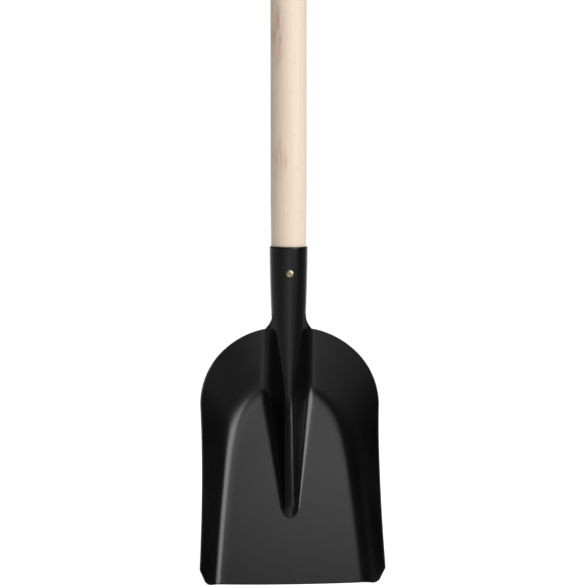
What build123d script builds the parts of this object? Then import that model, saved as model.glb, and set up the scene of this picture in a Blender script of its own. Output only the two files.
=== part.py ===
"""Grain scoop shovel: a pressed steel scoop with a rolled socket, a wooden handle and its screw.

Millimetres. +X is to the right of somebody looking into the scoop, +Y points away from them,
+Z runs up the handle. The handle's axis is x = 0, y = 0, and z = 0 is the scoop's front edge.
Each separate piece is written as its own STEP file in parts/.
"""
from build123d import *
from math import atan2, cos, hypot, pi, radians, sin, sqrt, tan
import os

os.makedirs("parts", exist_ok=True)

# ---- sheet steel ----
sheet = 1.7                      # thickness of the pressed sheet
tiny_gap = 0.1                   # air between pieces that sit close together
prism_depth = 300.0              # deeper than the whole scoop
block = 1000.0                   # larger than the whole scoop
flat_cut = 0.03                  # skimmed off the underside to make it one plane

# ---- outline of the scoop, seen square on ----
cusp_x = 25.5                    # where the shoulder's edge leaves the socket
cusp_z = 278.0
crown_point = (49.5, 270.5)
shoulder_start = (68.8, 258.4)
shoulder_point = (91.1, 231.0)
side_top = (99.2, 196.0)
waist = (97.9, 146.0)
side_middle = (98.6, 86.0)
side_foot = (101.3, 20.5)
corner_start = (96.7, 9.6)
corner_point = (94.0, 4.6)
corner_end = (89.0, 1.5)

# ---- depth of the scoop: a sloping flat floor below a sloping rim ----
floor_foot_y = -56.0             # the floor's place at the front edge
floor_slope = 0.315
rim_foot_y = -80.0
rim_slope = 0.29
dish_center_z = 123.0            # above it the floor ends in an arch
arch_half_width = 73.0           # the floor at the arch's centre
arch_pinch = 9.0
arch_rise = 30.0
arch_power = 2.3
floor_spread = 0.135             # how fast the floor widens below the arch's centre
floor_spread_fade = 0.00022
rim_half_width = 99.0
rim_spread = 5.4                 # how much wider the rim gets towards the front edge
rim_spread_power = 1.5
crown_rise = 60.0
crown_squareness = 0.9
bend_at_sides = 15.0             # half the width of the bend between floor and wall
bend_at_back = 16.0

# ---- socket ----
mouth_z = 370.5
neck_z = 297.0                   # the narrowest place
neck_radius = 19.5
mouth_radius = 21.2
socket_swell = 1.6
seam_gap = 1.4                   # slit between the rolled edges, at the back

# ---- flared edges above the cusps, and the notch behind them ----
flare_top_x = 19.8
flare_top_z = 292.0
flare_power = 1.8
curl_height = 4.0                # the edges start to curl round within this height
notch_height = 48.0              # the notch closes into the seam this far above the flare
notch_power = 0.85
notch_softness = 0.12

# ---- ridge that runs from the socket into the floor ----
ridge_tip_z = 72.0
knee_z = 201.0                   # the crest runs straight down to here, then leans forward
knee_reach = 2.5
crest_slope = 0.155
nose_slope = 0.55                # the blunt end that drops to the floor
nose_reach = 4.0
neck_slope = (neck_radius - mouth_radius) / (mouth_z - neck_z)
knee_radius = 6.5                # of the round crest
knee_run = 10.0                  # the crest starts to tighten this far below the knee
tip_radius = 9.5
steep_flank = 62.0               # degrees at the socket
gentle_flank = 56.0              # degrees from the knee down
ridge_fillet = 20.0
fillet_per_height = 0.85
tip_half_width = 9.0             # with its fillets

# ---- how finely the sheet's sections are described ----
arc_points = 12                  # round front of the ridge or socket
run_points = 9                   # flank and fillet, or the rolled back
wing_points = 17                 # floor and wall on one side
wing_reach = 118.0               # the wings run past the outline and are trimmed to it
dish_section_heights = (
    [-15, 20, 48, 66]
    + [ridge_tip_z + up for up in (0, 1.5, 3, 4.5, 6.5, 10, 15, 22, 32, 44, 57, 71, 86, 101, 113)]
    + [knee_z + up for up in (-9, -4, -1, 1, 4, 9, 17, 26, 35, 44, 52, 60, 67, 73)]
    + [cusp_z])
flare_section_heights = [cusp_z + up for up in (0, 1.2, 3, 6, 10)] + [flare_top_z]
roll_section_heights = [
    flare_top_z + up
    for up in (1, 2.2, 3.5, 5, 8, 12, 17, 23, 29, 35, 40, 44, 48, 54, 66)] + [mouth_z]

# ---- handle ----
handle_radius = 20.0
handle_top_z = 1350.0
handle_end_round = 13.0
waist_top_z = 428.0              # below it the handle thins to enter the socket
mouth_handle_radius = mouth_radius - sheet - tiny_gap
handle_foot_z = 294.0
handle_foot_radius = 17.3
handle_foot_round = 2.0

# ---- screw ----
screw_z = 341.0
screw_length = 30.0
head_sink = 0.3                  # the head's rim lies this far below the socket's front
head_radius = 3.9
head_dome = 0.6
shank_radius = 1.9
core_radius = 1.35
thread_pitch = 1.8
point_length = 4.0
recess_width = 0.9
recess_span = 4.4
recess_depth = 1.9
plain_neck = 6.0                 # smooth shank between head and thread
thread_cut = 0.4                 # share of the pitch where the thread reaches its core
thread_rise = 0.7
driver_reach = 8.0               # free space in front of the head

# ---- seam weld ----
weld_foot_z = 350.5
weld_top_z = 366.5
weld_half_width = 2.6
weld_height = 1.5
weld_round = 0.35                # the ends are this much of the full size
weld_air = 0.2                   # keeps the bead clear of the sheet's swell


def smooth_min(a, b, reach):
    """The smaller of two heights, with a soft bend where they meet."""
    overlap = max(reach - abs(a - b), 0.0) / reach
    return min(a, b) - overlap**3 * reach / 6


def ease(value, start, end):
    """0 before start, 1 after end, with a soft change between them."""
    part = min(max((value - start) / (end - start), 0.0), 1.0)
    return part * part * (3 - 2 * part)


def between(a, b, part):
    return a + (b - a) * part


# ---- the dish without its ridge ----
def dish_edges(x, z):
    """Distance of a point from the dish's middle, of the floor's edge and of the rim."""
    low = max(dish_center_z - z, 0.0)
    up = max(z - dish_center_z, 0.0)
    distance = hypot(x, up)
    s = up / distance if up else 0.0
    floor_edge = arch_half_width - arch_pinch * s + arch_rise * s**arch_power
    floor_edge += floor_spread * low - floor_spread_fade * low**2
    rim = rim_half_width + crown_rise * (s**2 + crown_squareness * s**4 * (1 - s**2))
    rim += rim_spread * (low / dish_center_z) ** rim_spread_power
    return distance, floor_edge, rim


def dish_y(x, z):
    """Front surface of the dish: flat floor, soft bend, sloping wall up to the rim."""
    distance, floor_edge, rim = dish_edges(x, z)
    wall = rim - floor_edge
    toward_back = ease(z, dish_center_z, dish_center_z + arch_half_width)
    bend = between(bend_at_sides, bend_at_back, toward_back) / wall
    climb = -smooth_min(0.0, (floor_edge - distance) / wall, bend)
    floor_y = floor_foot_y + floor_slope * z
    rim_y = rim_foot_y + rim_slope * z
    return between(floor_y, rim_y, climb)


# ---- the ridge ----
def socket_radius(z):
    up = min(max((z - neck_z) / (mouth_z - neck_z), 0.0), 1.0)
    return neck_radius + (mouth_radius - neck_radius) * (1 - (1 - up) ** socket_swell)


def crest_y(z):
    """The ridge's crest: down the socket's front, forward from the knee, back at the nose."""
    if z > neck_z:
        return -socket_radius(z)
    straight = -neck_radius + neck_slope * (z - neck_z)
    knee_y = -neck_radius + neck_slope * (knee_z - neck_z)
    leaning = knee_y + crest_slope * (z - knee_z)
    tip_y = floor_foot_y + floor_slope * ridge_tip_z
    nose = tip_y - nose_slope * (z - ridge_tip_z)
    return -smooth_min(-smooth_min(straight, leaning, knee_reach), -nose, nose_reach)


def crest_radius(z):
    """Round as the socket at the neck, tightest at the knee, blunter towards the tip."""
    if z > neck_z:
        return socket_radius(z)
    toward_neck = ease(z, knee_z - knee_run, neck_z)
    toward_tip = max(knee_z - z, 0.0) / (knee_z - ridge_tip_z)
    return knee_radius + (neck_radius - knee_radius) * toward_neck \
        + (tip_radius - knee_radius) * toward_tip


def flank_angle(z):
    return radians(between(gentle_flank, steep_flank, ease(z, knee_z, cusp_z)))


def ridge_y(x, z):
    """Round crest with straight, steep flanks."""
    r = crest_radius(z)
    lean = flank_angle(z)
    flank_start = r * sin(lean)
    if abs(x) < flank_start:
        return crest_y(z) + r - sqrt(r**2 - x**2)
    return crest_y(z) + r * (1 - cos(lean)) + (abs(x) - flank_start) * tan(lean)


def front_y(x, z):
    """Front surface of the pressed sheet, below the cusps."""
    if z <= ridge_tip_z:
        return dish_y(x, z)
    height = dish_y(0, z) - crest_y(z)
    reach = min(ridge_fillet, fillet_per_height * height) + 0.01
    return smooth_min(dish_y(x, z), ridge_y(x, z), reach)


def ridge_half_width(z):
    """Half the width at the ridge's foot, with its fillets."""
    return between(tip_half_width, cusp_x, ease(z, ridge_tip_z - tip_half_width, knee_z))


# ---- cross-sections ----
def evenly_spaced(points, count):
    """Pick points along a fine polyline so that they lie at equal distances along it."""
    lengths = [0.0]
    for (x0, y0), (x1, y1) in zip(points, points[1:]):
        lengths.append(lengths[-1] + hypot(x1 - x0, y1 - y0))
    picked = []
    k = 0
    for i in range(count):
        goal = lengths[-1] * i / (count - 1)
        while k < len(lengths) - 2 and lengths[k + 1] < goal:
            k += 1
        part = (goal - lengths[k]) / (lengths[k + 1] - lengths[k])
        (x0, y0), (x1, y1) = points[k], points[k + 1]
        picked.append((between(x0, x1, part), between(y0, y1, part)))
    return picked


def stretch(z, x_start, x_end, count):
    """Front points of one stretch of the section at height z."""
    fine = 400
    xs = [between(x_start, x_end, i / fine) for i in range(fine + 1)]
    return evenly_spaced([(x, front_y(x, z)) for x in xs], count)


def mirrored(half):
    """A full left-to-right run of points from its right half, which starts at the crest."""
    return [(-x, y) for x, y in reversed(half[1:])] + half


def round_front(z):
    """Right half of the round front, from the crest to where the flank starts."""
    nose = crest_radius(z)
    lean = flank_angle(cusp_z)
    angles = [lean * i / (arc_points - 1) for i in range(arc_points)]
    return [(nose * sin(angle), crest_y(z) + nose * (1 - cos(angle))) for angle in angles]


def flared_points(z):
    """Front points from the cusps to the flare's top, where the side edges draw in."""
    up = (flare_top_z - z) / (flare_top_z - cusp_z)
    edge_x = flare_top_x + (cusp_x - flare_top_x) * up**flare_power
    front = round_front(z)
    return mirrored(front + stretch(z, front[-1][0], edge_x, run_points)[1:])


def rolled_points(z):
    """Front points above the flare: the edges roll round behind until the socket is a tube."""
    radius = socket_radius(z)
    lean = flank_angle(cusp_z)
    (x0, y0), (x1, y1) = round_front(flare_top_z)[-1], flared_points(flare_top_z)[-1]
    flared_length = hypot(x1 - x0, y1 - y0)
    closed_length = (pi - lean) * radius - seam_gap / 2
    share = ((z - flare_top_z) / notch_height) ** notch_power
    opened = -smooth_min(0.0, share - 1, notch_softness)
    steps = run_points - 1
    step = between(closed_length, flared_length, opened) / steps
    turn = step / radius * ease(z, flare_top_z, flare_top_z + curl_height)
    chord = step * sin(turn / 2) / (turn / 2)
    half = round_front(z)
    for i in range(steps):
        direction = lean + turn * (i + 0.5)
        x, y = half[-1]
        half.append((x + chord * cos(direction), y + chord * sin(direction)))
    return mirrored(half)


def dished_points(z):
    """Left wing, ridge and right wing of the section at height z, below the cusps."""
    foot = ridge_half_width(z)
    if z < cusp_z:
        half_ridge = stretch(z, 0.0, foot, arc_points + run_points - 1)
        ridge = mirrored(half_ridge)
    else:
        ridge = flared_points(cusp_z)
    right = stretch(z, foot, wing_reach, wing_points)
    left = [(-x, y) for x, y in reversed(right)]
    return left, ridge, right


def behind(points, thickness):
    """The points of the sheet's other face, square to the first face in the section."""
    moved = []
    last = len(points) - 1
    for i, (x, y) in enumerate(points):
        (x0, y0), (x1, y1) = points[max(i - 1, 0)], points[min(i + 1, last)]
        length = hypot(x1 - x0, y1 - y0)
        moved.append((x - (y1 - y0) / length * thickness, y + (x1 - x0) / length * thickness))
    return moved


# ---- solids ----
def section_edges(stretches, z):
    """Spline edges through consecutive runs of points, running smoothly from one to the next."""
    joined = stretches[0]
    for points in stretches[1:]:
        joined = joined + points[1:]
    last = len(joined) - 1
    edges = []
    start = 0
    for points in stretches:
        end = start + len(points) - 1
        tangents = []
        for k, inner in ((start, start + 1), (end, end - 1)):
            (x0, y0), (x1, y1) = joined[max(k - 1, 0)], joined[min(k + 1, last)]
            spacing = hypot(joined[k][0] - joined[inner][0], joined[k][1] - joined[inner][1])
            tangents.append(Vector(x1 - x0, y1 - y0, 0).normalized() * spacing)
        edges.append(Edge.make_spline(
            [Vector(x, y, z) for x, y in points], tangents,
            parameters=[float(i) for i in range(len(points))], scale=False))
        start = end
    return edges


def sheet_section(stretches, z, slope):
    """Closed thin outline of the sheet at height z, with the sheet's thickness behind it."""
    joined = stretches[0]
    for points in stretches[1:]:
        joined = joined + points[1:]
    shifted = behind(joined, sheet * sqrt(1 + slope**2))
    back = []
    start = 0
    for points in stretches:
        end = start + len(points)
        back.append(shifted[start:end])
        start = end - 1
    front_edges = section_edges(stretches, z)
    back_edges = section_edges(back, z)
    left_end = Edge.make_line(front_edges[0] @ 0, back_edges[0] @ 0)
    right_end = Edge.make_line(front_edges[-1] @ 1, back_edges[-1] @ 1)
    return Wire(front_edges + [right_end] + back_edges[::-1] + [left_end])


def slope_up(z):
    """How steeply the sheet leans back at height z, a little way beside the ridge."""
    return (dish_y(cusp_x, z + 1) - dish_y(cusp_x, z - 1)) / 2


def outline_prism():
    """Everything inside the scoop's outline as seen square on."""
    half = [
        (cusp_x, cusp_z), crown_point, shoulder_start, shoulder_point, side_top,
        waist, side_middle, side_foot, corner_start, corner_point, corner_end,
    ]

    def place(point, side=1):
        return Vector(side * point[0], prism_depth / 2, point[1])

    edges = [Edge.make_line(place(half[0], -1), place(half[0]))]
    for side in (1, -1):
        cusp, crown, start, shoulder, top, mid, low, foot, c0, c1, c2 = [
            place(point, side) for point in half
        ]
        up = Vector(0, 0, 1)
        edges.append(Edge.make_three_point_arc(cusp, crown, start))
        edges.append(Edge.make_three_point_arc(start, shoulder, top))
        edges.append(Edge.make_spline([top, mid, low, foot], [up * -1, foot - low]))
        edges.append(Edge.make_line(foot, c0))
        edges.append(Edge.make_three_point_arc(c0, c1, c2))
    edges.append(Edge.make_three_point_arc(
        place(corner_end, -1), place((0, 0)), place(corner_end)))
    face = Face(Wire(edges))
    return Solid.extrude(face, Vector(0, -prism_depth, 0))


def sheet_metal():
    """The pressed and rolled sheet before its screw hole: trimmed dish joined to the socket."""
    dish = Solid.make_loft([
        sheet_section(dished_points(z), z, slope_up(z)) for z in dish_section_heights],
        ruled=True)
    leaning = slope_up(cusp_z)
    flared = [
        sheet_section([flared_points(z)], z, leaning * (1 - ease(z, cusp_z, flare_top_z)))
        for z in flare_section_heights]
    rolled = [sheet_section([rolled_points(z)], z, 0.0) for z in roll_section_heights]
    socket = Solid.make_loft(flared + rolled, ruled=True)
    trimmed = dish & outline_prism()
    return trimmed.fuse(socket)


def on_screw_axis(profile):
    """Spin a profile, drawn with +Y pointing into the wood, about the screw's axis."""
    head_rim_y = -socket_radius(screw_z) + head_sink
    spun = revolve(make_face(profile), Axis.Y)
    return Pos(0, head_rim_y, screw_z) * spun


def screw_seat(air):
    """The space taken by the screw, with some air round it."""
    cone_depth = head_radius - shank_radius
    return on_screw_axis(Polyline(
        (0, -driver_reach), (head_radius + air, -driver_reach), (head_radius + air, air),
        (shank_radius + air, cone_depth + air), (shank_radius + air, screw_length + air),
        (0, screw_length + air), (0, -driver_reach)))


def ground_flat():
    """Everything behind the floor's underside, so that what rests on the ground is truly flat."""
    lean = atan2(floor_slope, 1)
    behind_floor = (sheet - flat_cut) * sqrt(1 + floor_slope**2)
    underside = Plane(
        origin=(0, floor_foot_y + behind_floor, 0), x_dir=(1, 0, 0),
        z_dir=(0, cos(lean), -sin(lean)))
    return underside * Box(block, block, block, align=(Align.CENTER, Align.CENTER, Align.MIN))


def make_blade(sheet_solid):
    return sheet_solid - ground_flat() - screw_seat(tiny_gap)


def make_handle():
    """Turned pole: tapered foot inside the socket, thinned waist, straight grip, rounded end."""
    foot = Line((0, handle_foot_z), (handle_foot_radius - handle_foot_round, handle_foot_z))
    foot_edge = Line(foot @ 1, (handle_foot_radius, handle_foot_z + handle_foot_round))
    taper = Line(foot_edge @ 1, (mouth_handle_radius, mouth_z))
    waist_curve = Spline(
        [taper @ 1, (handle_radius, waist_top_z)], tangents=[taper % 1, (0, 1)])
    grip = Line(waist_curve @ 1, (handle_radius, handle_top_z - handle_end_round))
    end = RadiusArc(grip @ 1, (handle_radius - handle_end_round, handle_top_z), -handle_end_round)
    top = Line(end @ 1, (0, handle_top_z))
    axis_line = Line(top @ 1, foot @ 0)
    profile = foot + foot_edge + taper + waist_curve + grip + end + top + axis_line
    pole = revolve(make_face(Plane.XZ * profile), Axis.Z)
    return pole - screw_seat(tiny_gap)


def make_screw():
    """Raised-head wood screw with a coarse thread and a cross recess."""
    cone_depth = head_radius - shank_radius
    neck_end = cone_depth + plain_neck
    thread_end = screw_length - point_length
    side = [(head_radius, 0), (shank_radius, cone_depth), (shank_radius, neck_end)]
    turns = int((thread_end - neck_end) / thread_pitch)
    for turn in range(turns):
        start = neck_end + turn * thread_pitch
        side.append((core_radius, start + thread_cut * thread_pitch))
        side.append((core_radius, start + thread_rise * thread_pitch))
        side.append((shank_radius, start + thread_pitch))
    side.append((core_radius, thread_end + thread_cut * thread_pitch))
    side.append((0, screw_length))
    dome = ThreePointArc((0, -head_dome), (head_radius * 0.55, -head_dome * 0.7), side[0])
    outline = dome + Polyline(*side) + Line(side[-1], (0, -head_dome))
    body = on_screw_axis(outline)
    head_rim_y = -socket_radius(screw_z) + head_sink
    recess_y = head_rim_y - head_dome + recess_depth / 2 - tiny_gap
    for turn in (45, 135):
        slot = Rot(0, turn, 0) * Box(recess_span, recess_depth, recess_width)
        body = body - Pos(0, recess_y, screw_z) * slot
    return body


def make_weld():
    """Bead that closes the rolled socket's seam near its mouth, at the back."""
    stations = [(0.0, weld_round), (0.06, 0.8), (0.15, 1.0), (0.85, 1.0), (0.94, 0.8),
                (1.0, weld_round)]
    rings = []
    for part, size in stations:
        z = between(weld_foot_z, weld_top_z, part)
        spot = Plane(origin=(0, socket_radius(z), z), z_dir=(0, 0, 1))
        rings.append(spot * Ellipse(weld_half_width * size, weld_height * size))
    bead = loft(rings)
    foot_radius = socket_radius(weld_foot_z) + weld_air
    top_radius = socket_radius(weld_top_z) + weld_air
    socket_space = Polyline(
        (0, weld_foot_z), (foot_radius, weld_foot_z), (top_radius, weld_top_z),
        (0, weld_top_z), (0, weld_foot_z))
    bead = bead - revolve(make_face(Plane.XZ * socket_space), Axis.Z)
    root_width = seam_gap - 2 * weld_air
    root_height = weld_top_z - weld_foot_z - 2 * weld_half_width
    root = Box(root_width, sheet, root_height)
    middle_z = (weld_foot_z + weld_top_z) / 2
    return bead + Pos(0, foot_radius - sheet / 2 + weld_height / 3, middle_z) * root


steel = sheet_metal()
nodes = {
    "scoop_blade": make_blade(steel),
    "handle": make_handle(),
    "socket_screw": make_screw(),
    "seam_weld": make_weld(),
}

# The frame's origin is the middle of the bounding box's bottom face.
middle_y = nodes["scoop_blade"].bounding_box().center().Y
for name, shape in nodes.items():
    export_step(Pos(0, -middle_y, 0) * shape, f"parts/{name}.step")
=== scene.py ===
"""Looks of the grain scoop shovel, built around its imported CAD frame. Metres, +Z up the handle."""
from math import cos, pi, radians, sin, tan

import bpy
import numpy as np
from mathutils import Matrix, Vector


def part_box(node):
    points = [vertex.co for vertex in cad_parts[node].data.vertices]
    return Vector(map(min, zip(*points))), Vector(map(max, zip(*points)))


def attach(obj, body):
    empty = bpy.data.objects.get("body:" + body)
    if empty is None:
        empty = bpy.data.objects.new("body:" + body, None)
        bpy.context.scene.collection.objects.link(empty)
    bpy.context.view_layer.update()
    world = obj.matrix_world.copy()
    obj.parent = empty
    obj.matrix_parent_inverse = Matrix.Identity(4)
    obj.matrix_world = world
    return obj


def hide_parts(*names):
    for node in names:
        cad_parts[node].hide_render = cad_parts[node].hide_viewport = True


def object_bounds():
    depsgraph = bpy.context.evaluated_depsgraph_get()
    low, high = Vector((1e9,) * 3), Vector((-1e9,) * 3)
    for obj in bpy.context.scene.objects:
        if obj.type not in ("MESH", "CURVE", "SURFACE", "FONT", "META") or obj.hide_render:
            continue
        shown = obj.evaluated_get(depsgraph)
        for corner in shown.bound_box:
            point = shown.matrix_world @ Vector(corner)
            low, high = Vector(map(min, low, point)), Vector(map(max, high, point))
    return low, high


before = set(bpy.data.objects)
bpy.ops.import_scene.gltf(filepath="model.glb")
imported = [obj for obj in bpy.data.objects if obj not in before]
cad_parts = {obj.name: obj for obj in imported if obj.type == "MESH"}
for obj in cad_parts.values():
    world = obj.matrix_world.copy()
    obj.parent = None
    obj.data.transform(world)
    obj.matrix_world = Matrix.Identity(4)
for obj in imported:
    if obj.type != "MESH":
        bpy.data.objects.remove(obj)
cad_low, cad_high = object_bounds()

MM = 0.001
handle_low, handle_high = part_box("handle")
_, blade_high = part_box("scoop_blade")
screw_low, screw_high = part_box("socket_screw")
weld_low, weld_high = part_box("seam_weld")

AXIS_Y = (handle_low.y + handle_high.y) / 2 / MM    # the handle's axis, in mm
MOUTH_Z = blade_high.z / MM
SCREW_Z = (screw_low.z + screw_high.z) / 2 / MM

# ---- pressed sheet, in mm, measured from the handle's axis and the scoop's front edge ----
SHEET = 1.7
RIM_ROUND = 0.75                  # how far the sheet's cut edge is rounded over
RIM_FULLNESS = 0.7                # below 1 the rounded edge is squarer than a circle
CUSP_X = 25.5
CUSP_Z = 278.0
CROWN = ((CUSP_X, CUSP_Z), (49.5, 270.5), (68.8, 258.4))
SHOULDER = ((68.8, 258.4), (91.1, 231.0), (99.2, 196.0))
SIDE = ((99.2, 196.0), (97.9, 146.0), (98.6, 86.0), (101.3, 20.5))
CORNER = ((96.7, 9.6), (94.0, 4.6), (89.0, 1.5))

# the floor and the rim are two sloping planes, and the wall climbs from one to the other
FLOOR_FOOT_Y = -56.0
FLOOR_SLOPE = 0.315
RIM_FOOT_Y = -80.0
RIM_SLOPE = 0.29
DISH_CENTER_Z = 123.0             # above it the floor's edge is an arch, below it two sides
ARCH_HALF_WIDTH = 73.0
ARCH_PINCH = 9.0
ARCH_RISE = 30.0
ARCH_POWER = 2.3
FLOOR_SPREAD = 0.135
FLOOR_SPREAD_FADE = 0.00022
RIM_HALF_WIDTH = 99.0
RIM_SPREAD = 5.4                  # how much wider the rim gets towards the front edge
RIM_SPREAD_POWER = 1.5
CROWN_RISE = 60.0
CROWN_SQUARENESS = 0.9
BEND_AT_SIDES = 15.0
BEND_AT_BACK = 16.0

# the socket from its neck up to its mouth, and the flared edges that lead into it
NECK_Z = 297.0
NECK_RADIUS = 19.5
MOUTH_RADIUS = 21.2
SOCKET_SWELL = 1.6
SEAM_GAP = 1.4
FLARE_TOP_X = 19.8                # the flared edges run up from the cusps to here
FLARE_TOP_Z = 292.0
FLARE_POWER = 1.8
CURL_HEIGHT = 4.0
NOTCH_HEIGHT = 48.0               # the notch behind closes into the seam this far above
NOTCH_POWER = 0.85
NOTCH_SOFTNESS = 0.12

RIDGE_TIP_Z = 72.0
KNEE_Z = 201.0                    # the crest runs down straight to here, then leans forward
KNEE_REACH = 2.5
CREST_SLOPE = 0.155
NOSE_SLOPE = 0.55
NOSE_REACH = 4.0
NECK_SLOPE = (NECK_RADIUS - MOUTH_RADIUS) / (MOUTH_Z - NECK_Z)
KNEE_RADIUS = 6.5
KNEE_RUN = 10.0                   # the crest starts to tighten this far below the knee
TIP_RADIUS = 9.5
STEEP_FLANK = 62.0
GENTLE_FLANK = 56.0
RIDGE_FILLET = 20.0
FILLET_PER_HEIGHT = 0.85
SMALLEST_FILLET = 0.01
TIP_HALF_WIDTH = 9.0              # of the ridge with its fillets
RIDGE_WIDENS_FROM = RIDGE_TIP_Z - 10
RIDGE_WIDENS_TO = 200.0
RIDGE_WIDENS_POWER = 0.8

# ---- pole, screw and weld, in mm ----
POLE_END_ROUND = 13.0
POLE_FOOT_RADIUS = 17.3
POLE_FOOT_ROUND = 2.0
POLE_FOOT_BEVEL = 0.6             # halfway round the foot's rounded edge
POLE_TAPER_START = 12.0           # above the foot
POLE_WAIST = 57.5                 # the pole is thinned for this far above the socket
WAIST_HOLLOW = 0.15               # how much the waist's swell lags behind an even one
AIR = 0.1                         # between pieces that sit close together
SCREW_LENGTH = 30.0
SHANK_RADIUS = 1.9
DRIVER_REACH = 8.0                # the screw's seat is open this far in front of the head
HOLE_SIDES = 48
HOLE_EDGE_ANGLE = 40              # sharper edges than this stay crisp, in degrees
WELD_RIPPLE = 1.5
RIPPLE_LAG = 0.45                 # the ripples' sides trail behind by this share of a ripple
RIPPLE_WIDTH = 0.1
RIPPLE_HEIGHT = 0.2
WELD_ROOT = 0.3                   # how deep the bead sits in the seam
WELD_FADE = 3.2                   # how quickly the ends rise to the full size
WELD_END = 0.02
WELD_FADE_POWER = 0.6

# ---- colours and finish ----
PAINT_ROUGHNESS = 0.20
PAINT_CLOUDING = 0.07             # how much rougher the paint gets in patches
WOOD_LIGHT = (0.71, 0.60, 0.475)
WOOD_PINK = (0.69, 0.565, 0.465)
WOOD_LATE = (0.66, 0.50, 0.36)
WOOD_FLECK = (0.42, 0.27, 0.16)
WOOD_STREAK = (0.38, 0.20, 0.12)
LATE_SHARE = 0.3                  # how strongly the rings, the grain and the flecks show
GRAIN_SHARE = 0.28
FLECK_SHARE = 0.35
RINGS_PER_METRE = 210.0
RING_TURN = 0.35                  # how far the rings' direction is turned towards the back
RING_LEAN = 1.3                   # rings crossed per metre along the pole
RING_DRIFT = 5.0                  # how many rings the grain wanders
STREAK_HALF_WIDTH = 0.009         # in metres
STREAK_REACH = 1.25               # how far a streak reaches, in half lengths and half widths
# each streak's center height, half length and x in metres, and its strength
WOOD_STREAKS = ((0.603, 0.040, -0.012, 1.3), (0.465, 0.030, -0.011, 0.9))

# ---- light and camera ----
LIGHT_CENTER = (0.0, 0.0, 0.22)
# name, azimuth and elevation in degrees, distance and size in metres, power in watts
SOFT_LIGHTS = (
    ("key", 38, 27, 2.2, (1.0, 1.5), 29),
    ("front_fill", 12, 27, 2.6, (1.2, 0.75), 5.2),
)
# the studio's walls all round: azimuth in degrees (0 in front, right positive), brightness
STUDIO_WALLS = ((-180, 1.0), (-150, 0.95), (-130, 0.4), (-105, 0.4), (-85, 0.3), (-50, 0.25),
                (-20, 0.48), (5, 0.85), (20, 0.45), (33, 0.2), (48, 0.08), (80, 0.08),
                (100, 0.15), (130, 0.3), (150, 0.95), (180, 1.0))
WALL_TOP_STARTS = 0.0             # sine of the elevation where the walls start to darken
WALL_TOP_ENDS = 0.12
DARK_ABOVE = 0.08                 # the ceiling's brightness, as a share of the walls'
CAMERA_TARGET = (0.0044, AXIS_Y * MM, 0.3188)
CAMERA_AZIMUTH = -4.0
CAMERA_ELEVATION = 4.0
CAMERA_DISTANCE = 2.2
VIEW_WIDTH = 0.655
SENSOR_WIDTH = 36.0
FLOOR_REACH = 6.0

# ---- mesh density ----
EDGE_STEP = 1.9                   # spacing of rows along the outline, in mm
RIDGE_COLUMNS = 43                # from the crest to the ridge's foot
ARC_COLUMNS = 27                  # of those, on the socket's round front
WING_COLUMNS = 54                 # from the ridge's foot to the rim
FLARE_ROWS = 12
SOCKET_ROWS = 64
SOCKET_CROWDING = 1.4             # above 1 the socket's rows are closer near the flare
RIM_RINGS = 7
POLE_SIDES = 128
TAPER_ROWS = 7
WAIST_ROWS = 10
GRIP_ROWS = 60
END_ROWS = 12
CURVE_STEPS = 80                  # fine steps along a curve before it is spaced evenly
CORNER_STEPS = 20
SIDE_STEPS = 200
ROW_STEPS = 600
FLARE_STEPS = 400
WELD_ROWS = 90
WELD_COLUMNS = 25


def smooth_min(a, b, reach):
    """The smaller of two heights, with a soft bend where they meet."""
    overlap = np.maximum(reach - np.abs(a - b), 0) / reach
    return np.minimum(a, b) - overlap**3 * reach / 6


def ease(value, start, end):
    part = np.clip((value - start) / (end - start), 0, 1)
    return part * part * (3 - 2 * part)


def between(a, b, part):
    return a + (b - a) * part


# ---- surface of the scoop ----
def dish_y(x, z):
    """Front of the dish without its ridge: flat floor, soft bend, wall up to the rim."""
    up = np.maximum(z - DISH_CENTER_Z, 0)
    distance = np.hypot(x, up)
    s = up / np.maximum(distance, 1e-6)
    low = np.maximum(DISH_CENTER_Z - z, 0)
    floor_edge = ARCH_HALF_WIDTH - ARCH_PINCH * s + ARCH_RISE * s**ARCH_POWER
    floor_edge = floor_edge + FLOOR_SPREAD * low - FLOOR_SPREAD_FADE * low**2
    spread = RIM_SPREAD * (low / DISH_CENTER_Z) ** RIM_SPREAD_POWER
    squared = s**2 + CROWN_SQUARENESS * s**4 * (1 - s**2)
    rim = RIM_HALF_WIDTH + CROWN_RISE * squared + spread
    wall = rim - floor_edge
    toward_back = ease(z, DISH_CENTER_Z, DISH_CENTER_Z + ARCH_HALF_WIDTH)
    bend = between(BEND_AT_SIDES, BEND_AT_BACK, toward_back) / wall
    climb = -smooth_min(0.0, (floor_edge - distance) / wall, bend)
    return between(FLOOR_FOOT_Y + FLOOR_SLOPE * z, RIM_FOOT_Y + RIM_SLOPE * z, climb)


def socket_radius(z):
    up = np.clip((z - NECK_Z) / (MOUTH_Z - NECK_Z), 0, 1)
    return NECK_RADIUS + (MOUTH_RADIUS - NECK_RADIUS) * (1 - (1 - up) ** SOCKET_SWELL)


def crest_y(z):
    """The ridge's crest: down the socket's front, forward from the knee, back at the nose."""
    straight = -NECK_RADIUS + NECK_SLOPE * (z - NECK_Z)
    knee_y = -NECK_RADIUS + NECK_SLOPE * (KNEE_Z - NECK_Z)
    leaning = knee_y + CREST_SLOPE * (z - KNEE_Z)
    tip_y = FLOOR_FOOT_Y + FLOOR_SLOPE * RIDGE_TIP_Z
    nose = tip_y - NOSE_SLOPE * (z - RIDGE_TIP_Z)
    below_neck = smooth_min(straight, leaning, KNEE_REACH)
    below_neck = -smooth_min(-below_neck, -nose, NOSE_REACH)
    return np.where(z > NECK_Z, -socket_radius(z), below_neck)


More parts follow.
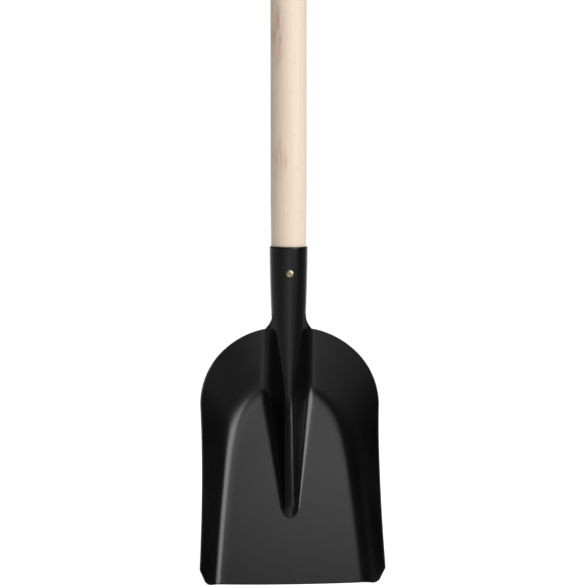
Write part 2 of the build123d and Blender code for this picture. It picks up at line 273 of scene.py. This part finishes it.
def crest_radius(z):
    """Round as the socket at the neck, tightest at the knee, blunter towards the tip."""
    above = KNEE_RADIUS + (NECK_RADIUS - KNEE_RADIUS) * ease(z, KNEE_Z - KNEE_RUN, NECK_Z)
    below = np.clip((KNEE_Z - z) / (KNEE_Z - RIDGE_TIP_Z), 0, 1)
    return np.where(z > NECK_Z, socket_radius(z), above + (TIP_RADIUS - KNEE_RADIUS) * below)


def flank_angle(z):
    return np.radians(between(GENTLE_FLANK, STEEP_FLANK, ease(z, KNEE_Z, CUSP_Z)))


def ridge_y(x, z):
    """Round crest with straight, steep flanks."""
    r = crest_radius(z)
    lean = flank_angle(z)
    flank_start = r * np.sin(lean)
    x = np.abs(x)
    crown = r - np.sqrt(np.maximum(r**2 - np.minimum(x, flank_start) ** 2, 0))
    return crest_y(z) + crown + np.maximum(x - flank_start, 0) * np.tan(lean)


def front_y(x, z):
    """Front of the pressed sheet below the cusps."""
    dish = dish_y(x, z)
    height = np.maximum(dish_y(0 * x, z) - crest_y(z), 0)
    reach = np.minimum(RIDGE_FILLET, FILLET_PER_HEIGHT * height) + SMALLEST_FILLET
    return np.where(z > RIDGE_TIP_Z, smooth_min(dish, ridge_y(x, z), reach), dish)


def ridge_half_width(z):
    """Half the width at the ridge's foot, with its fillets."""
    widened = ease(z, RIDGE_WIDENS_FROM, RIDGE_WIDENS_TO) ** RIDGE_WIDENS_POWER
    return between(TIP_HALF_WIDTH, CUSP_X, widened)


# ---- curves that bound the sheet ----
def arc_through(a, b, c, count):
    """Points on the circle through three points, from a to c."""
    a, b, c = (complex(*p) for p in (a, b, c))
    w = (c - a) / (b - a)
    center = a + (b - a) * (w - abs(w) ** 2) / (2j * w.imag)
    first, last = a - center, c - center
    turn = np.angle(last / first)
    points = center + first * np.exp(1j * np.linspace(0, turn, count))
    return np.stack([points.real, points.imag], 1)


def evenly(points, count):
    """Points at equal distances along a polyline."""
    steps = np.linalg.norm(np.diff(points, axis=0), axis=1)
    length = np.concatenate([[0], np.cumsum(steps)])
    goal = np.linspace(0, length[-1], count)
    columns = [np.interp(goal, length, points[:, k]) for k in range(points.shape[1])]
    return np.stack(columns, 1)


def half_outline():
    """Right half of the scoop's outline, from the front edge's corner up to the cusp."""
    side_z = np.array([z for x, z in SIDE])
    side_x = np.array([x for x, z in SIDE])
    cubic = np.polyfit(side_z, side_x, 3)
    run_z = np.linspace(side_z[0], side_z[-1], SIDE_STEPS)
    side = np.stack([np.polyval(cubic, run_z), run_z], 1)
    pieces = [arc_through(*CROWN, CURVE_STEPS), arc_through(*SHOULDER, CURVE_STEPS)[1:],
              side[1:], arc_through(*CORNER, CORNER_STEPS)]
    line = np.concatenate(pieces)[::-1]
    length = np.linalg.norm(np.diff(line, axis=0), axis=1).sum()
    line = evenly(line, int(length / EDGE_STEP) + 1)
    along = np.gradient(line, axis=0)
    along /= np.linalg.norm(along, axis=1)[:, None]
    inward = np.stack([-along[:, 1], along[:, 0]], 1)
    return line + inward * RIM_ROUND


# ---- the sheet's rows of points, from the front edge up to the socket's mouth ----
def row_height(x, edge_x, edge_z):
    """Rows are level, but the lowest ones sag like the front edge does."""
    foot_z = CORNER[2][1]
    blend = np.clip((SIDE[-1][1] - edge_z) / (SIDE[-1][1] - foot_z), 0, 1)
    return edge_z - foot_z * blend * (1 - (x / edge_x) ** 2)


def dished_row(edge_x, edge_z):
    """Right half of a row below the cusps: ridge columns, then wing columns."""
    foot = min(ridge_half_width(edge_z), edge_x)
    runs = []
    for start, end, count in ((0, foot, RIDGE_COLUMNS), (foot, edge_x, WING_COLUMNS + 1)):
        x = np.linspace(start, end, ROW_STEPS)
        z = row_height(x, edge_x, edge_z)
        runs.append(evenly(np.stack([x, front_y(x, z), z], 1), count))
    return np.concatenate([runs[0], runs[1][1:]])


def round_front(z):
    """Right half of the ridge's or socket's round front, up to where the flank starts."""
    nose = float(crest_radius(z))
    angles = np.linspace(0, flank_angle(CUSP_Z), ARC_COLUMNS)
    return np.stack([nose * np.sin(angles), crest_y(z) + nose * (1 - np.cos(angles))], 1)


def flared_row(z):
    """Right half of a row between the cusps and the top of the flared edges."""
    up = (FLARE_TOP_Z - z) / (FLARE_TOP_Z - CUSP_Z)
    edge_x = FLARE_TOP_X + (CUSP_X - FLARE_TOP_X) * up**FLARE_POWER - RIM_ROUND * (1 - up)
    front = round_front(z)
    x = np.linspace(front[-1, 0], edge_x, FLARE_STEPS)
    fine = np.stack([x, front_y(x, np.full(FLARE_STEPS, z))], 1)
    rest = evenly(fine, RIDGE_COLUMNS - ARC_COLUMNS + 1)
    return at_height(np.concatenate([front, rest[1:]]), z)


def rolled_row(z, first_length):
    """Right half of a row above the flare, where the edges roll round behind."""
    radius = socket_radius(z)
    lean = flank_angle(CUSP_Z)
    share = ((z - FLARE_TOP_Z) / NOTCH_HEIGHT) ** NOTCH_POWER
    opened = -smooth_min(0.0, share - 1, NOTCH_SOFTNESS)
    closed_length = (pi - lean) * radius - SEAM_GAP / 2 - RIM_ROUND
    steps = RIDGE_COLUMNS - ARC_COLUMNS
    step = between(closed_length, first_length, opened) / steps
    curl = ease(z, FLARE_TOP_Z, FLARE_TOP_Z + CURL_HEIGHT) / radius
    directions = lean + curl * step * (np.arange(steps) + 0.5)
    moves = step * np.stack([np.cos(directions), np.sin(directions)], 1)
    front = round_front(z)
    rest = front[-1] + np.cumsum(moves, axis=0)
    return at_height(np.concatenate([front, rest]), z)


def at_height(points, z):
    return np.concatenate([points, np.full((len(points), 1), z)], 1)


def mirrored(rows):
    """Full rows, left to right, from right halves that start on the middle plane."""
    left = rows[:, :0:-1] * np.array([-1, 1, 1])
    return np.concatenate([left, rows], 1)


def sheet_rows():
    outline = half_outline()
    dished = np.stack([dished_row(x, z) for x, z in outline])
    flared = [flared_row(z) for z in np.linspace(CUSP_Z, FLARE_TOP_Z, FLARE_ROWS)]
    end = flared[-1][ARC_COLUMNS - 1:]
    first_length = np.linalg.norm(end[-1] - end[0])
    top = MOUTH_Z - RIM_ROUND
    shares = np.linspace(0, 1, SOCKET_ROWS)[1:] ** SOCKET_CROWDING
    heights = FLARE_TOP_Z + (top - FLARE_TOP_Z) * shares
    rolled = np.stack(flared + [rolled_row(z, first_length) for z in heights])
    return mirrored(dished), mirrored(rolled)


def facing_back(rows):
    """Unit normals that point behind the sheet."""
    normals = np.cross(np.gradient(rows, axis=0), np.gradient(rows, axis=1))
    return normals / np.maximum(np.linalg.norm(normals, axis=2), 1e-9)[..., None]


def make_mesh(name, points, faces):
    mesh = bpy.data.meshes.new(name)
    mesh.from_pydata((np.asarray(points) * MM).tolist(), [], faces)
    mesh.validate()
    mesh.shade_smooth()
    piece = bpy.data.objects.new(name, mesh)
    bpy.context.scene.collection.objects.link(piece)
    return piece


def grid_faces(ids):
    """Quads between neighbouring rows; where two upper corners are one point, triangles."""
    faces = []
    for low, high in zip(ids, ids[1:]):
        for j in range(len(low) - 1):
            corners = [int(low[j]), int(low[j + 1]), int(high[j + 1]), int(high[j])]
            if corners[2] == corners[3]:
                corners.pop()
            faces.append(corners)
    return faces


def edge_loop(ids, rolled_ids):
    """Point numbers all the way round the sheet's edge."""
    loop = list(ids[0]) + list(ids[1:, -1]) + list(rolled_ids[:, -1])
    loop += list(rolled_ids[-1, -2::-1]) + list(rolled_ids[-2::-1, 0]) + list(ids[:0:-1, 0])
    return np.array([k for i, k in enumerate(loop) if k != loop[i - 1]])


def rounded_edge(edge, normals, start):
    """Rings of points from the front edge round to the back one, numbered from start."""
    along = np.roll(edge, -1, axis=0) - np.roll(edge, 1, axis=0)
    along /= np.linalg.norm(along, axis=1)[:, None]
    outward = np.cross(normals, along)
    middle = edge + normals * SHEET / 2
    points = []
    rings = []
    for k in range(1, RIM_RINGS + 1):
        angle = pi / 2 - pi * k / (RIM_RINGS + 1)
        bulge = RIM_ROUND * cos(angle) ** RIM_FULLNESS
        points.append(middle + outward * bulge - normals * SHEET / 2 * sin(angle))
        rings.append(start + np.arange(len(edge)))
        start += len(edge)
    return points, rings


def ring_faces(rings):
    """Quads between closed rings of points."""
    faces = []
    for a, b in zip(rings, rings[1:]):
        for i in range(len(a)):
            j = (i + 1) % len(a)
            faces.append([int(a[j]), int(a[i]), int(b[i]), int(b[j])])
    return faces


def make_scoop():
    """Pressed sheet with thickness and a rounded cut edge all the way round."""
    dished, rolled = sheet_rows()
    levels, columns = dished.shape[:2]
    ridge = slice(WING_COLUMNS, columns - WING_COLUMNS)
    dished_normals = facing_back(dished)
    tall = facing_back(np.concatenate([dished[:, ridge], rolled]))
    dished_normals[-1, ridge] = tall[levels - 1]
    rolled_normals = tall[levels:]

    # beside the ridge, the top row of the dish has shrunk to the cusps
    ids = np.arange(levels * columns).reshape(levels, columns)
    ids[-1, :WING_COLUMNS] = ids[-1, WING_COLUMNS]
    ids[-1, columns - WING_COLUMNS:] = ids[-1, columns - WING_COLUMNS - 1]
    rolled_ids = levels * columns + np.arange(rolled[..., 0].size).reshape(rolled.shape[:2])
    front = np.concatenate([dished.reshape(-1, 3), rolled.reshape(-1, 3)])
    normals = np.concatenate([dished_normals.reshape(-1, 3), rolled_normals.reshape(-1, 3)])

    faces = grid_faces(ids) + grid_faces(np.concatenate([ids[-1:, ridge], rolled_ids]))
    count = len(front)
    faces += [[k + count for k in reversed(face)] for face in faces]
    loop = edge_loop(ids, rolled_ids)
    edge_points, rings = rounded_edge(front[loop], normals[loop], 2 * count)
    faces += ring_faces([loop] + rings + [loop + count])
    points = np.concatenate([front, front + normals * SHEET] + edge_points)
    return drop_unused(make_mesh("scoop_pressing", points + np.array([0, AXIS_Y, 0]), faces))


def drop_unused(piece):
    """Removes points that no face uses."""
    mesh = piece.data
    used = np.zeros(len(mesh.vertices), bool)
    for polygon in mesh.polygons:
        used[list(polygon.vertices)] = True
    new = np.cumsum(used) - 1
    co = np.array([v.co for v in mesh.vertices])[used]
    faces = [[int(new[v]) for v in polygon.vertices] for polygon in mesh.polygons]
    mesh.clear_geometry()
    mesh.from_pydata(co.tolist(), [], faces)
    mesh.shade_smooth()
    return piece


def make_pole():
    """Turned pole with a tapered foot, a thinned neck above the socket and a rounded end."""
    foot_z, top_z = handle_low.z / MM, handle_high.z / MM
    radius = (handle_high.x - handle_low.x) / 2 / MM
    neck_radius = MOUTH_RADIUS - SHEET - AIR
    neck_top_z = MOUTH_Z + POLE_WAIST
    taper = (neck_radius - POLE_FOOT_RADIUS) / (MOUTH_Z - foot_z)
    profile = [
        (0.0, foot_z), (POLE_FOOT_RADIUS - POLE_FOOT_ROUND, foot_z),
        (POLE_FOOT_RADIUS - POLE_FOOT_BEVEL, foot_z + POLE_FOOT_BEVEL),
        (POLE_FOOT_RADIUS, foot_z + POLE_FOOT_ROUND)]
    for z in np.linspace(foot_z + POLE_TAPER_START, MOUTH_Z, TAPER_ROWS):
        profile.append((POLE_FOOT_RADIUS + taper * (z - foot_z), z))
    for p in np.linspace(0, 1, WAIST_ROWS + 1)[1:]:
        swell = ease(p, 0, 1) * (1 - WAIST_HOLLOW * (1 - p))
        profile.append((between(neck_radius, radius, swell), between(MOUTH_Z, neck_top_z, p)))
    grip_top = top_z - POLE_END_ROUND
    profile += [(radius, z) for z in np.linspace(neck_top_z, grip_top, GRIP_ROWS)[1:]]
    for angle in np.linspace(0, pi / 2, END_ROWS)[1:]:
        profile.append((radius - POLE_END_ROUND * (1 - cos(angle)),
                        grip_top + POLE_END_ROUND * sin(angle)))
    profile.append((0.0, top_z))
    return lathe("pole", profile, POLE_SIDES)


def lathe(name, profile, sides):
    """Spins (radius, height) points about the handle's axis; ends on the axis are closed."""
    points = []
    rings = []
    for radius, z in profile:
        start = len(points)
        if radius == 0:
            points.append((0, AXIS_Y, z))
            rings.append([start] * sides)
            continue
        for k in range(sides):
            angle = 2 * pi * k / sides
            points.append((radius * cos(angle), AXIS_Y + radius * sin(angle), z))
        rings.append(list(range(start, start + sides)))
    faces = []
    for low, high in zip(rings, rings[1:]):
        for k in range(sides):
            j = (k + 1) % sides
            face = [low[k], low[j], high[j], high[k]]
            faces.append([v for i, v in enumerate(face) if v != face[i - 1]])
    return make_mesh(name, points, faces)


def drill(piece):
    """Cuts the screw's countersunk seat into a piece."""
    head = (screw_high.x - screw_low.x) / 2 / MM + AIR
    shank = SHANK_RADIUS + AIR
    tip_y = screw_high.y / MM + AIR
    rim_y = tip_y - SCREW_LENGTH
    profile = [
        (0.0, rim_y - DRIVER_REACH), (head, rim_y - DRIVER_REACH), (head, rim_y),
        (shank, rim_y + head - shank), (shank, tip_y), (0.0, tip_y)]
    cutter = lathe("screw_seat", profile, HOLE_SIDES)
    for vertex in cutter.data.vertices:
        x, y, z = vertex.co
        vertex.co = (x, z, SCREW_Z * MM - (y - AXIS_Y * MM))
    cut = piece.modifiers.new("screw_seat", "BOOLEAN")
    cut.operation = "DIFFERENCE"
    cut.object = cutter
    cut.solver = "EXACT"
    bpy.context.view_layer.update()
    shaped = piece.evaluated_get(bpy.context.evaluated_depsgraph_get())
    piece.data = bpy.data.meshes.new_from_object(shaped)
    piece.modifiers.clear()
    piece.data.set_sharp_from_angle(angle=radians(HOLE_EDGE_ANGLE))
    bpy.data.objects.remove(cutter)
    return piece


def make_weld():
    """Rippled weld bead along the seam, its ends faded out."""
    low_z, high_z = weld_low.z / MM, weld_high.z / MM
    half_width = (weld_high.x - weld_low.x) / 2 / MM
    crown = weld_high.y / MM - AXIS_Y - socket_radius(high_z)
    points = []
    for p in np.linspace(0, 1, WELD_ROWS):
        z = between(low_z, high_z, p)
        fade = min(1.0, sin(pi * p) * WELD_FADE + WELD_END) ** WELD_FADE_POWER
        for k in range(WELD_COLUMNS):
            angle = 2 * pi * k / WELD_COLUMNS
            across, out = cos(angle), sin(angle)
            lag = WELD_RIPPLE * RIPPLE_LAG * across**2
            dip = 0.5 - 0.5 * cos(2 * pi * (z + lag - low_z) / WELD_RIPPLE)
            x = across * half_width * fade * (1 - RIPPLE_WIDTH * dip)
            base = np.sqrt(socket_radius(z) ** 2 - x**2)
            rise = out * WELD_ROOT
            if out > 0:
                rise = out * crown * fade * (1 - RIPPLE_HEIGHT * dip)
            points.append((x, AXIS_Y + base + rise, z))
    faces = []
    for i in range(WELD_ROWS - 1):
        for k in range(WELD_COLUMNS):
            a = i * WELD_COLUMNS + k
            b = i * WELD_COLUMNS + (k + 1) % WELD_COLUMNS
            faces.append([a, b, b + WELD_COLUMNS, a + WELD_COLUMNS])
    faces.append(list(range(WELD_COLUMNS))[::-1])
    faces.append([(WELD_ROWS - 1) * WELD_COLUMNS + k for k in range(WELD_COLUMNS)])
    return make_mesh("seam_bead", points, faces)


# ---- materials ----
class Nodes:
    """Short ways to add and link the nodes of one tree."""

    def __init__(self, tree):
        self.tree = tree

    def add(self, kind, **settings):
        node = self.tree.nodes.new(kind)
        for key, value in settings.items():
            setattr(node, key, value)
        return node

    def feed(self, socket, value):
        if isinstance(value, bpy.types.NodeSocket):
            self.tree.links.new(value, socket)
        else:
            socket.default_value = value

    def math(self, operation, a, b=0.0, clamp=False):
        node = self.add("ShaderNodeMath", operation=operation, use_clamp=clamp)
        self.feed(node.inputs[0], a)
        self.feed(node.inputs[1], b)
        return node.outputs[0]

    def ramp(self, value, stops):
        """Maps a value through (place, grey or colour) stops."""
        node = self.add("ShaderNodeValToRGB")
        self.feed(node.inputs[0], value)
        band = node.color_ramp
        while len(band.elements) < len(stops):
            band.elements.new(0.5)
        for element, (place, colour) in zip(band.elements, stops):
            element.position = place
            if not isinstance(colour, tuple):
                colour = (colour,) * 3
            element.color = (*colour, 1)
        return node.outputs[0]

    def spread(self, value, start, end, low=0.0, high=1.0):
        """Maps start..end evenly to low..high."""
        node = self.add("ShaderNodeMapRange")
        self.feed(node.inputs["Value"], value)
        node.inputs["From Min"].default_value = start
        node.inputs["From Max"].default_value = end
        node.inputs["To Min"].default_value = low
        node.inputs["To Max"].default_value = high
        return node.outputs[0]

    def mix(self, share, a, b):
        """Mixes two colours."""
        node = self.add("ShaderNodeMix", data_type="RGBA")
        self.feed(node.inputs[0], share)
        for socket, value in ((node.inputs[6], a), (node.inputs[7], b)):
            if isinstance(value, tuple):
                value = (*value, 1)
            self.feed(socket, value)
        return node.outputs[2]

    def mix_values(self, share, a, b):
        node = self.add("ShaderNodeMix")
        self.feed(node.inputs[0], share)
        self.feed(node.inputs[2], a)
        self.feed(node.inputs[3], b)
        return node.outputs[0]

    def axes(self, direction):
        node = self.add("ShaderNodeSeparateXYZ")
        self.feed(node.inputs[0], direction)
        return node.outputs


class MaterialNodes(Nodes):
    """One material, whose textures sit in the frame's own space."""

    def __init__(self, name):
        self.material = bpy.data.materials.new(name)
        self.material.use_nodes = True
        super().__init__(self.material.node_tree)
        self.surface = self.tree.nodes["Principled BSDF"]
        self.place = self.add("ShaderNodeTexCoord").outputs["Object"]

    def axis(self, letter):
        return self.axes(self.place)[letter]

    def noise(self, scale, detail=3.0, rough=0.5, shift=(0, 0, 0)):
        """Noise whose grains are 1/scale metres long along each axis."""
        scaled = self.add("ShaderNodeMapping")
        self.feed(scaled.inputs["Vector"], self.place)
        scaled.inputs["Scale"].default_value = scale
        scaled.inputs["Location"].default_value = shift
        node = self.add("ShaderNodeTexNoise")
        self.feed(node.inputs["Vector"], scaled.outputs[0])
        node.inputs["Scale"].default_value = 1.0
        node.inputs["Detail"].default_value = detail
        node.inputs["Roughness"].default_value = rough
        return node.outputs["Fac"]

    def bump(self, height, distance, strength=1.0, under=None):
        node = self.add("ShaderNodeBump")
        self.feed(node.inputs["Height"], height)
        node.inputs["Distance"].default_value = distance
        node.inputs["Strength"].default_value = strength
        if under is not None:
            self.feed(node.inputs["Normal"], under)
        return node.outputs[0]

    def finish(self, colour, rough, metallic=0.0, normal=None, **extra):
        self.feed(self.surface.inputs["Base Color"], colour)
        self.feed(self.surface.inputs["Roughness"], rough)
        self.surface.inputs["Metallic"].default_value = metallic
        if normal is not None:
            self.feed(self.surface.inputs["Normal"], normal)
        for name, value in extra.items():
            self.feed(self.surface.inputs[name.replace("_", " ")], value)
        return self.material


def black_paint():
    """Satin black paint: fine orange peel, finer grit, slightly uneven tint and gloss."""
    n = MaterialNodes("satin_black_paint")
    cloud = n.noise((14, 14, 14), detail=2)
    peel = n.noise((820, 820, 820), detail=1.5, rough=0.45)
    grit = n.noise((2600, 2600, 2600), detail=1, shift=(5, 2, 8))
    colour = n.ramp(cloud, [(0.3, (0.0020, 0.0019, 0.0022)), (0.7, (0.0030, 0.0028, 0.0031))])
    rough = n.math("ADD", n.math("MULTIPLY", cloud, PAINT_CLOUDING), PAINT_ROUGHNESS)
    normal = n.bump(peel, 0.00009, 0.5)
    normal = n.bump(grit, 0.00002, 0.35, under=normal)
    return n.finish(colour, rough, normal=normal, IOR=1.5)


def brown_streak(n, colour, center_z, half_length, center_x, strength):
    """A veined brown streak along the grain, strongest at its middle."""
    up = n.math("SUBTRACT", n.axis("Z"), center_z)
    along = n.math("ABSOLUTE", n.math("DIVIDE", up, half_length))
    aside = n.math("SUBTRACT", n.axis("X"), center_x)
    beside = n.math("ABSOLUTE", n.math("DIVIDE", aside, STREAK_HALF_WIDTH))
    spot = n.math("SUBTRACT", STREAK_REACH, n.math("ADD", along, beside), clamp=True)
    veins = n.noise((260, 260, 22), detail=4, rough=0.62, shift=(center_z * 9, 2, 1))
    share = n.math("MULTIPLY", spot, n.ramp(veins, [(0.42, 0.0), (0.72, 1.0)]))
    share = n.math("MULTIPLY", share, strength, clamp=True)
    return n.mix(share, colour, WOOD_STREAK)


def pale_beech():
    """Pale beech: rings, long grain, ray flecks, fine fibres and brown streaks on one side."""
    n = MaterialNodes("pale_beech")
    drift = n.noise((9, 9, 2.2), detail=3, shift=(3, 1, 7))
    across = n.math("ADD", n.axis("X"), n.math("MULTIPLY", n.axis("Y"), RING_TURN))
    rings_in = n.math("MULTIPLY", across, RINGS_PER_METRE)
    rings_in = n.math("ADD", rings_in, n.math("MULTIPLY", n.axis("Z"), RING_LEAN))
    rings_in = n.math("ADD", rings_in, n.math("MULTIPLY", drift, RING_DRIFT))
    ring = n.math("FRACT", rings_in)
    late = n.ramp(ring, [(0.0, 0.0), (0.55, 0.15), (0.9, 0.9), (1.0, 0.0)])
    long_grain = n.noise((700, 700, 9), detail=4, rough=0.6)
    broad_grain = n.noise((120, 120, 3.0), detail=3, shift=(2, 9, 4))
    pale = n.mix(n.ramp(broad_grain, [(0.3, 0.0), (0.75, 1.0)]), WOOD_LIGHT, WOOD_PINK)
    colour = n.mix(n.math("MULTIPLY", late, LATE_SHARE), pale, WOOD_LATE)
    lines = n.ramp(long_grain, [(0.45, 0.0), (0.75, 1.0)])
    colour = n.mix(n.math("MULTIPLY", lines, GRAIN_SHARE), colour, WOOD_LATE)
    fleck = n.noise((900, 900, 130), detail=1.5, shift=(1, 4, 2))
    flecks = n.ramp(fleck, [(0.66, 0.0), (0.74, 1.0)])
    colour = n.mix(n.math("MULTIPLY", flecks, FLECK_SHARE), colour, WOOD_FLECK)
    for streak in WOOD_STREAKS:
        colour = brown_streak(n, colour, *streak)
    fibre = n.noise((1500, 1500, 30), detail=3, rough=0.6, shift=(8, 8, 0))
    rough = n.ramp(fibre, [(0.3, 0.5), (0.8, 0.62)])
    normal = n.bump(fibre, 0.00006, 0.5)
    normal = n.bump(late, 0.00004, 0.4, under=normal)
    return n.finish(colour, rough, normal=normal)


def yellow_zinc():
    """Yellow-passivated steel: a thin film whose tint drifts between straw and rose."""
    n = MaterialNodes("yellow_zinc")
    film = n.noise((420, 420, 420), detail=2)
    colour = n.ramp(film, [(0.3, (0.50, 0.43, 0.27)), (0.5, (0.54, 0.47, 0.33)),
                           (0.7, (0.48, 0.39, 0.29))])
    scuff = n.noise((2500, 2500, 2500), detail=3)
    rough = n.ramp(scuff, [(0.3, 0.28), (0.7, 0.45)])
    return n.finish(colour, rough, metallic=1.0, normal=n.bump(scuff, 0.00002, 0.4))


def plain_floor():
    """Pale studio floor, bright enough to melt into the background."""
    n = MaterialNodes("pale_floor")
    colour = n.ramp(n.noise((3, 3, 3)), [(0.0, (0.90, 0.90, 0.90)), (1.0, (0.93, 0.93, 0.93))])
    return n.finish(colour, 0.6, Emission_Color=(1, 1, 1, 1), Emission_Strength=1.0)


# ---- the object ----
def put(piece, node, material):
    """Gives a piece its material and lets it stand in for a CAD part."""
    piece.data.materials.clear()
    piece.data.materials.append(material)
    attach(piece, "root")
    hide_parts(node)
    return piece


paint = black_paint()
put(drill(make_scoop()), "scoop_blade", paint)
put(drill(make_pole()), "handle", pale_beech())
put(make_weld(), "seam_weld", paint)
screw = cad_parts["socket_screw"]
screw.data.materials.clear()
screw.data.materials.append(yellow_zinc())


# ---- stage, light and camera ----
def make_floor():
    z = cad_low.z
    signs = ((-1, -1), (1, -1), (1, 1), (-1, 1))
    corners = [(x * FLOOR_REACH, y * FLOOR_REACH, z) for x, y in signs]
    mesh = bpy.data.meshes.new("floor")
    mesh.from_pydata(corners, [], [(0, 1, 2, 3)])
    floor = bpy.data.objects.new("floor", mesh)
    bpy.context.scene.collection.objects.link(floor)
    mesh.materials.append(plain_floor())
    floor.visible_glossy = False


def aim(item, place, target):
    item.location = place
    item.rotation_euler = (Vector(target) - Vector(place)).to_track_quat("-Z", "Y").to_euler()


def around(center, azimuth, elevation, distance):
    """A place seen from center at an azimuth (0 is in front, positive to the right)."""
    a, e = radians(azimuth), radians(elevation)
    return Vector(center) + distance * Vector((sin(a) * cos(e), -cos(a) * cos(e), sin(e)))


def soft_light(name, azimuth, elevation, distance, size, power):
    data = bpy.data.lights.new(name, "AREA")
    data.shape = "RECTANGLE"
    data.size, data.size_y = size
    data.energy = power
    light = bpy.data.objects.new(name, data)
    bpy.context.scene.collection.objects.link(light)
    aim(light, around(LIGHT_CENTER, azimuth, elevation, distance), LIGHT_CENTER)


def make_world():
    """White to the camera; for all else, walls of uneven brightness and a dark ceiling."""
    world = bpy.data.worlds.new("studio")
    world.use_nodes = True
    n = Nodes(world.node_tree)
    x, y, z = n.axes(n.add("ShaderNodeTexCoord").outputs["Generated"])
    azimuth = n.math("ARCTAN2", x, n.math("MULTIPLY", y, -1.0))
    stops = [(0.5 + degrees / 360, level) for degrees, level in STUDIO_WALLS]
    walls = n.ramp(n.spread(azimuth, -pi, pi), stops)
    fading = n.spread(z, WALL_TOP_STARTS, WALL_TOP_ENDS, 1.0, DARK_ABOVE)
    seen = n.add("ShaderNodeLightPath").outputs["Is Camera Ray"]
    background = n.tree.nodes["Background"]
    n.feed(background.inputs["Color"], n.mix(seen, walls, (1, 1, 1)))
    n.feed(background.inputs["Strength"], n.mix_values(seen, fading, 1.0))
    bpy.context.scene.world = world


def make_camera():
    data = bpy.data.cameras.new("camera")
    data.sensor_width = SENSOR_WIDTH
    data.lens = SENSOR_WIDTH * CAMERA_DISTANCE / VIEW_WIDTH
    camera = bpy.data.objects.new("camera", data)
    bpy.context.scene.collection.objects.link(camera)
    aim(camera, around(CAMERA_TARGET, CAMERA_AZIMUTH, CAMERA_ELEVATION, CAMERA_DISTANCE),
        CAMERA_TARGET)
    bpy.context.scene.camera = camera


make_floor()
make_world()
for light in SOFT_LIGHTS:
    soft_light(*light)
make_camera()
bpy.context.scene.view_settings.view_transform = "Standard"
